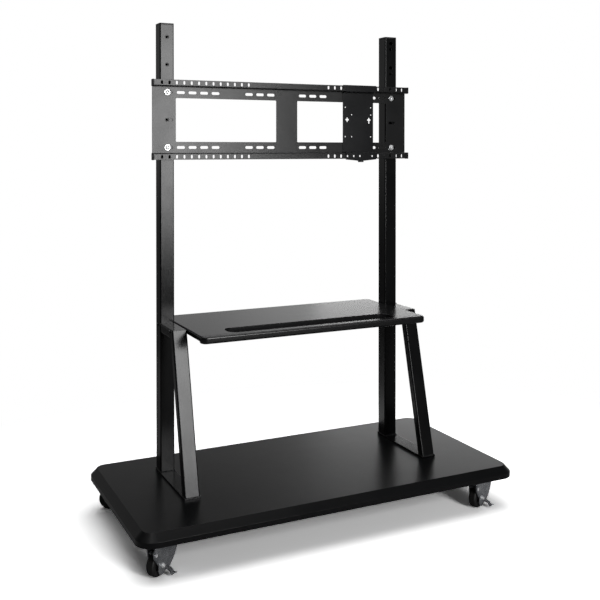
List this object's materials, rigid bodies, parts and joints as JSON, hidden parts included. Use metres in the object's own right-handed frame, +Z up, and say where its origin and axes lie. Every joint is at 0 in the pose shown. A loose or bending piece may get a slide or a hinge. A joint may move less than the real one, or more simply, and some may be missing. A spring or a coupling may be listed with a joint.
{
  "type": "display trolley",
  "caption": "Wheeled black steel trolley with a flat deck, two posts with sloping legs, a slotted shelf and a slotted rail bracket for a screen.",
  "frame": {"origin": "on the floor under the middle of the deck", "axes": "+Z up, +X along the deck to the right seen from the front, +Y from the front to the back"},
  "size_m": [1.226, 0.6063, 1.533],
  "materials": {
    "black_powder_coat": "fine satin black powder coat",
    "under_frame_coat": "plain matt black paint",
    "bracket_coat": "fine textured black powder coat",
    "device_coat": "smooth satin black coat, slightly blue",
    "shelf_board": "smooth satin charcoal",
    "black_plastic": "moulded black plastic",
    "knurled_plastic": "moulded black plastic with grip ribs",
    "dark_steel": "black zinc plated steel",
    "bright_zinc": "bright zinc plated steel",
    "zinc_plate": "bright zinc plated pressed steel",
    "tyre_rubber": "smooth black tread",
    "wheel_nylon": "black nylon wheel centre"
  },
  "bodies": {
    "frame": {"deck_pan": "black_powder_coat", "foot_plate_left": "black_powder_coat", "foot_plate_right": "black_powder_coat", "post_left": "black_powder_coat", "post_right": "black_powder_coat", "leg_left": "black_powder_coat", "leg_right": "black_powder_coat", "arm_left": "black_powder_coat", "arm_right": "black_powder_coat", "caster_beam_left": "under_frame_coat", "caster_beam_right": "under_frame_coat", "frame_rail_left": "under_frame_coat", "frame_rail_right": "under_frame_coat", "shelf": "shelf_board", "post_cap_left": "black_plastic", "post_cap_right": "black_plastic", "foot_bolts_left": "dark_steel", "foot_bolts_right": "dark_steel", "shelf_screws_left": "dark_steel", "shelf_screws_right": "dark_steel", "post_nuts_left": "black_powder_coat", "post_nuts_right": "black_powder_coat", "bracket_bolts": "bright_zinc", "bracket_washers": "bright_zinc", "caster_bolts": "bright_zinc", "caster_nuts": "bright_zinc", "caster_plate_fl": "zinc_plate", "caster_plate_fr": "zinc_plate", "caster_plate_rl": "zinc_plate", "caster_plate_rr": "zinc_plate"},
    "bracket": {"bracket_plate": "bracket_coat", "rail_cap_top_left": "black_plastic", "rail_cap_top_right": "black_plastic", "rail_cap_low_left": "black_plastic", "rail_cap_low_right": "black_plastic"},
    "device": {"device_plate": "device_coat"},
    "lock_screw": {"device_screw": "knurled_plastic"},
    "swivel_fl": {"caster_fork_fl": "zinc_plate", "caster_axle_fl": "bright_zinc", "brake_pin_fl": "bright_zinc"},
    "wheel_fl": {"caster_tyre_fl": "tyre_rubber", "caster_hub_fl": "wheel_nylon"},
    "brake_lever_fl": {"brake_fl": "zinc_plate"},
    "swivel_fr": {"caster_fork_fr": "zinc_plate", "caster_axle_fr": "bright_zinc", "brake_pin_fr": "bright_zinc"},
    "wheel_fr": {"caster_tyre_fr": "tyre_rubber", "caster_hub_fr": "wheel_nylon"},
    "brake_lever_fr": {"brake_fr": "zinc_plate"},
    "swivel_rl": {"caster_fork_rl": "zinc_plate", "caster_axle_rl": "bright_zinc"},
    "wheel_rl": {"caster_tyre_rl": "tyre_rubber", "caster_hub_rl": "wheel_nylon"},
    "swivel_rr": {"caster_fork_rr": "zinc_plate", "caster_axle_rr": "bright_zinc"},
    "wheel_rr": {"caster_tyre_rr": "tyre_rubber", "caster_hub_rr": "wheel_nylon"}
  },
  "joints": [
    {"name": "bracket_side_shift", "type": "slide", "parent": "frame", "child": "bracket", "axis": [1, 0, 0], "range_m": [-0.0115, 0.0045]},
    {"name": "device_plate_slide", "type": "slide", "parent": "bracket", "child": "device", "axis": [1, 0, 0], "range_m": [-0.59, 0.055]},
    {"name": "lock_screw_turn", "type": "hinge", "parent": "device", "child": "lock_screw", "pos_m": [0.272, 0.09945, 1.103], "axis": [0, 0, 1], "continuous": true},
    {"name": "swivel_fl_turn", "type": "hinge", "parent": "frame", "child": "swivel_fl", "pos_m": [-0.529, -0.225, 0.09], "axis": [0, 0, 1], "continuous": true},
    {"name": "wheel_fl_roll", "type": "hinge", "parent": "swivel_fl", "child": "wheel_fl", "pos_m": [-0.55003, -0.24028, 0.0325], "axis": [-0.5878, 0.809, 0], "continuous": true},
    {"name": "brake_fl_press", "type": "hinge", "parent": "swivel_fl", "child": "brake_lever_fl", "pos_m": [-0.57107, -0.25556, 0.0675], "axis": [-0.5878, 0.809, 0], "range_deg": [0, 6]},
    {"name": "swivel_fr_turn", "type": "hinge", "parent": "frame", "child": "swivel_fr", "pos_m": [0.529, -0.225, 0.09], "axis": [0, 0, 1], "continuous": true},
    {"name": "wheel_fr_roll", "type": "hinge", "parent": "swivel_fr", "child": "wheel_fr", "pos_m": [0.50563, -0.2364, 0.0325], "axis": [-0.4384, 0.8988, 0], "continuous": true},
    {"name": "brake_fr_press", "type": "hinge", "parent": "swivel_fr", "child": "brake_lever_fr", "pos_m": [0.48226, -0.24779, 0.0675], "axis": [-0.4384, 0.8988, 0], "range_deg": [0, 6]},
    {"name": "swivel_rl_turn", "type": "hinge", "parent": "frame", "child": "swivel_rl", "pos_m": [-0.529, 0.25, 0.09], "axis": [0, 0, 1], "continuous": true},
    {"name": "wheel_rl_roll", "type": "hinge", "parent": "swivel_rl", "child": "wheel_rl", "pos_m": [-0.55152, 0.263, 0.0325], "axis": [0.5, 0.866, 0], "continuous": true},
    {"name": "swivel_rr_turn", "type": "hinge", "parent": "frame", "child": "swivel_rr", "pos_m": [0.529, 0.25, 0.09], "axis": [0, 0, 1], "continuous": true},
    {"name": "wheel_rr_roll", "type": "hinge", "parent": "swivel_rr", "child": "wheel_rr", "pos_m": [0.516, 0.27252, 0.0325], "axis": [0.866, 0.5, 0], "continuous": true}
  ]
}
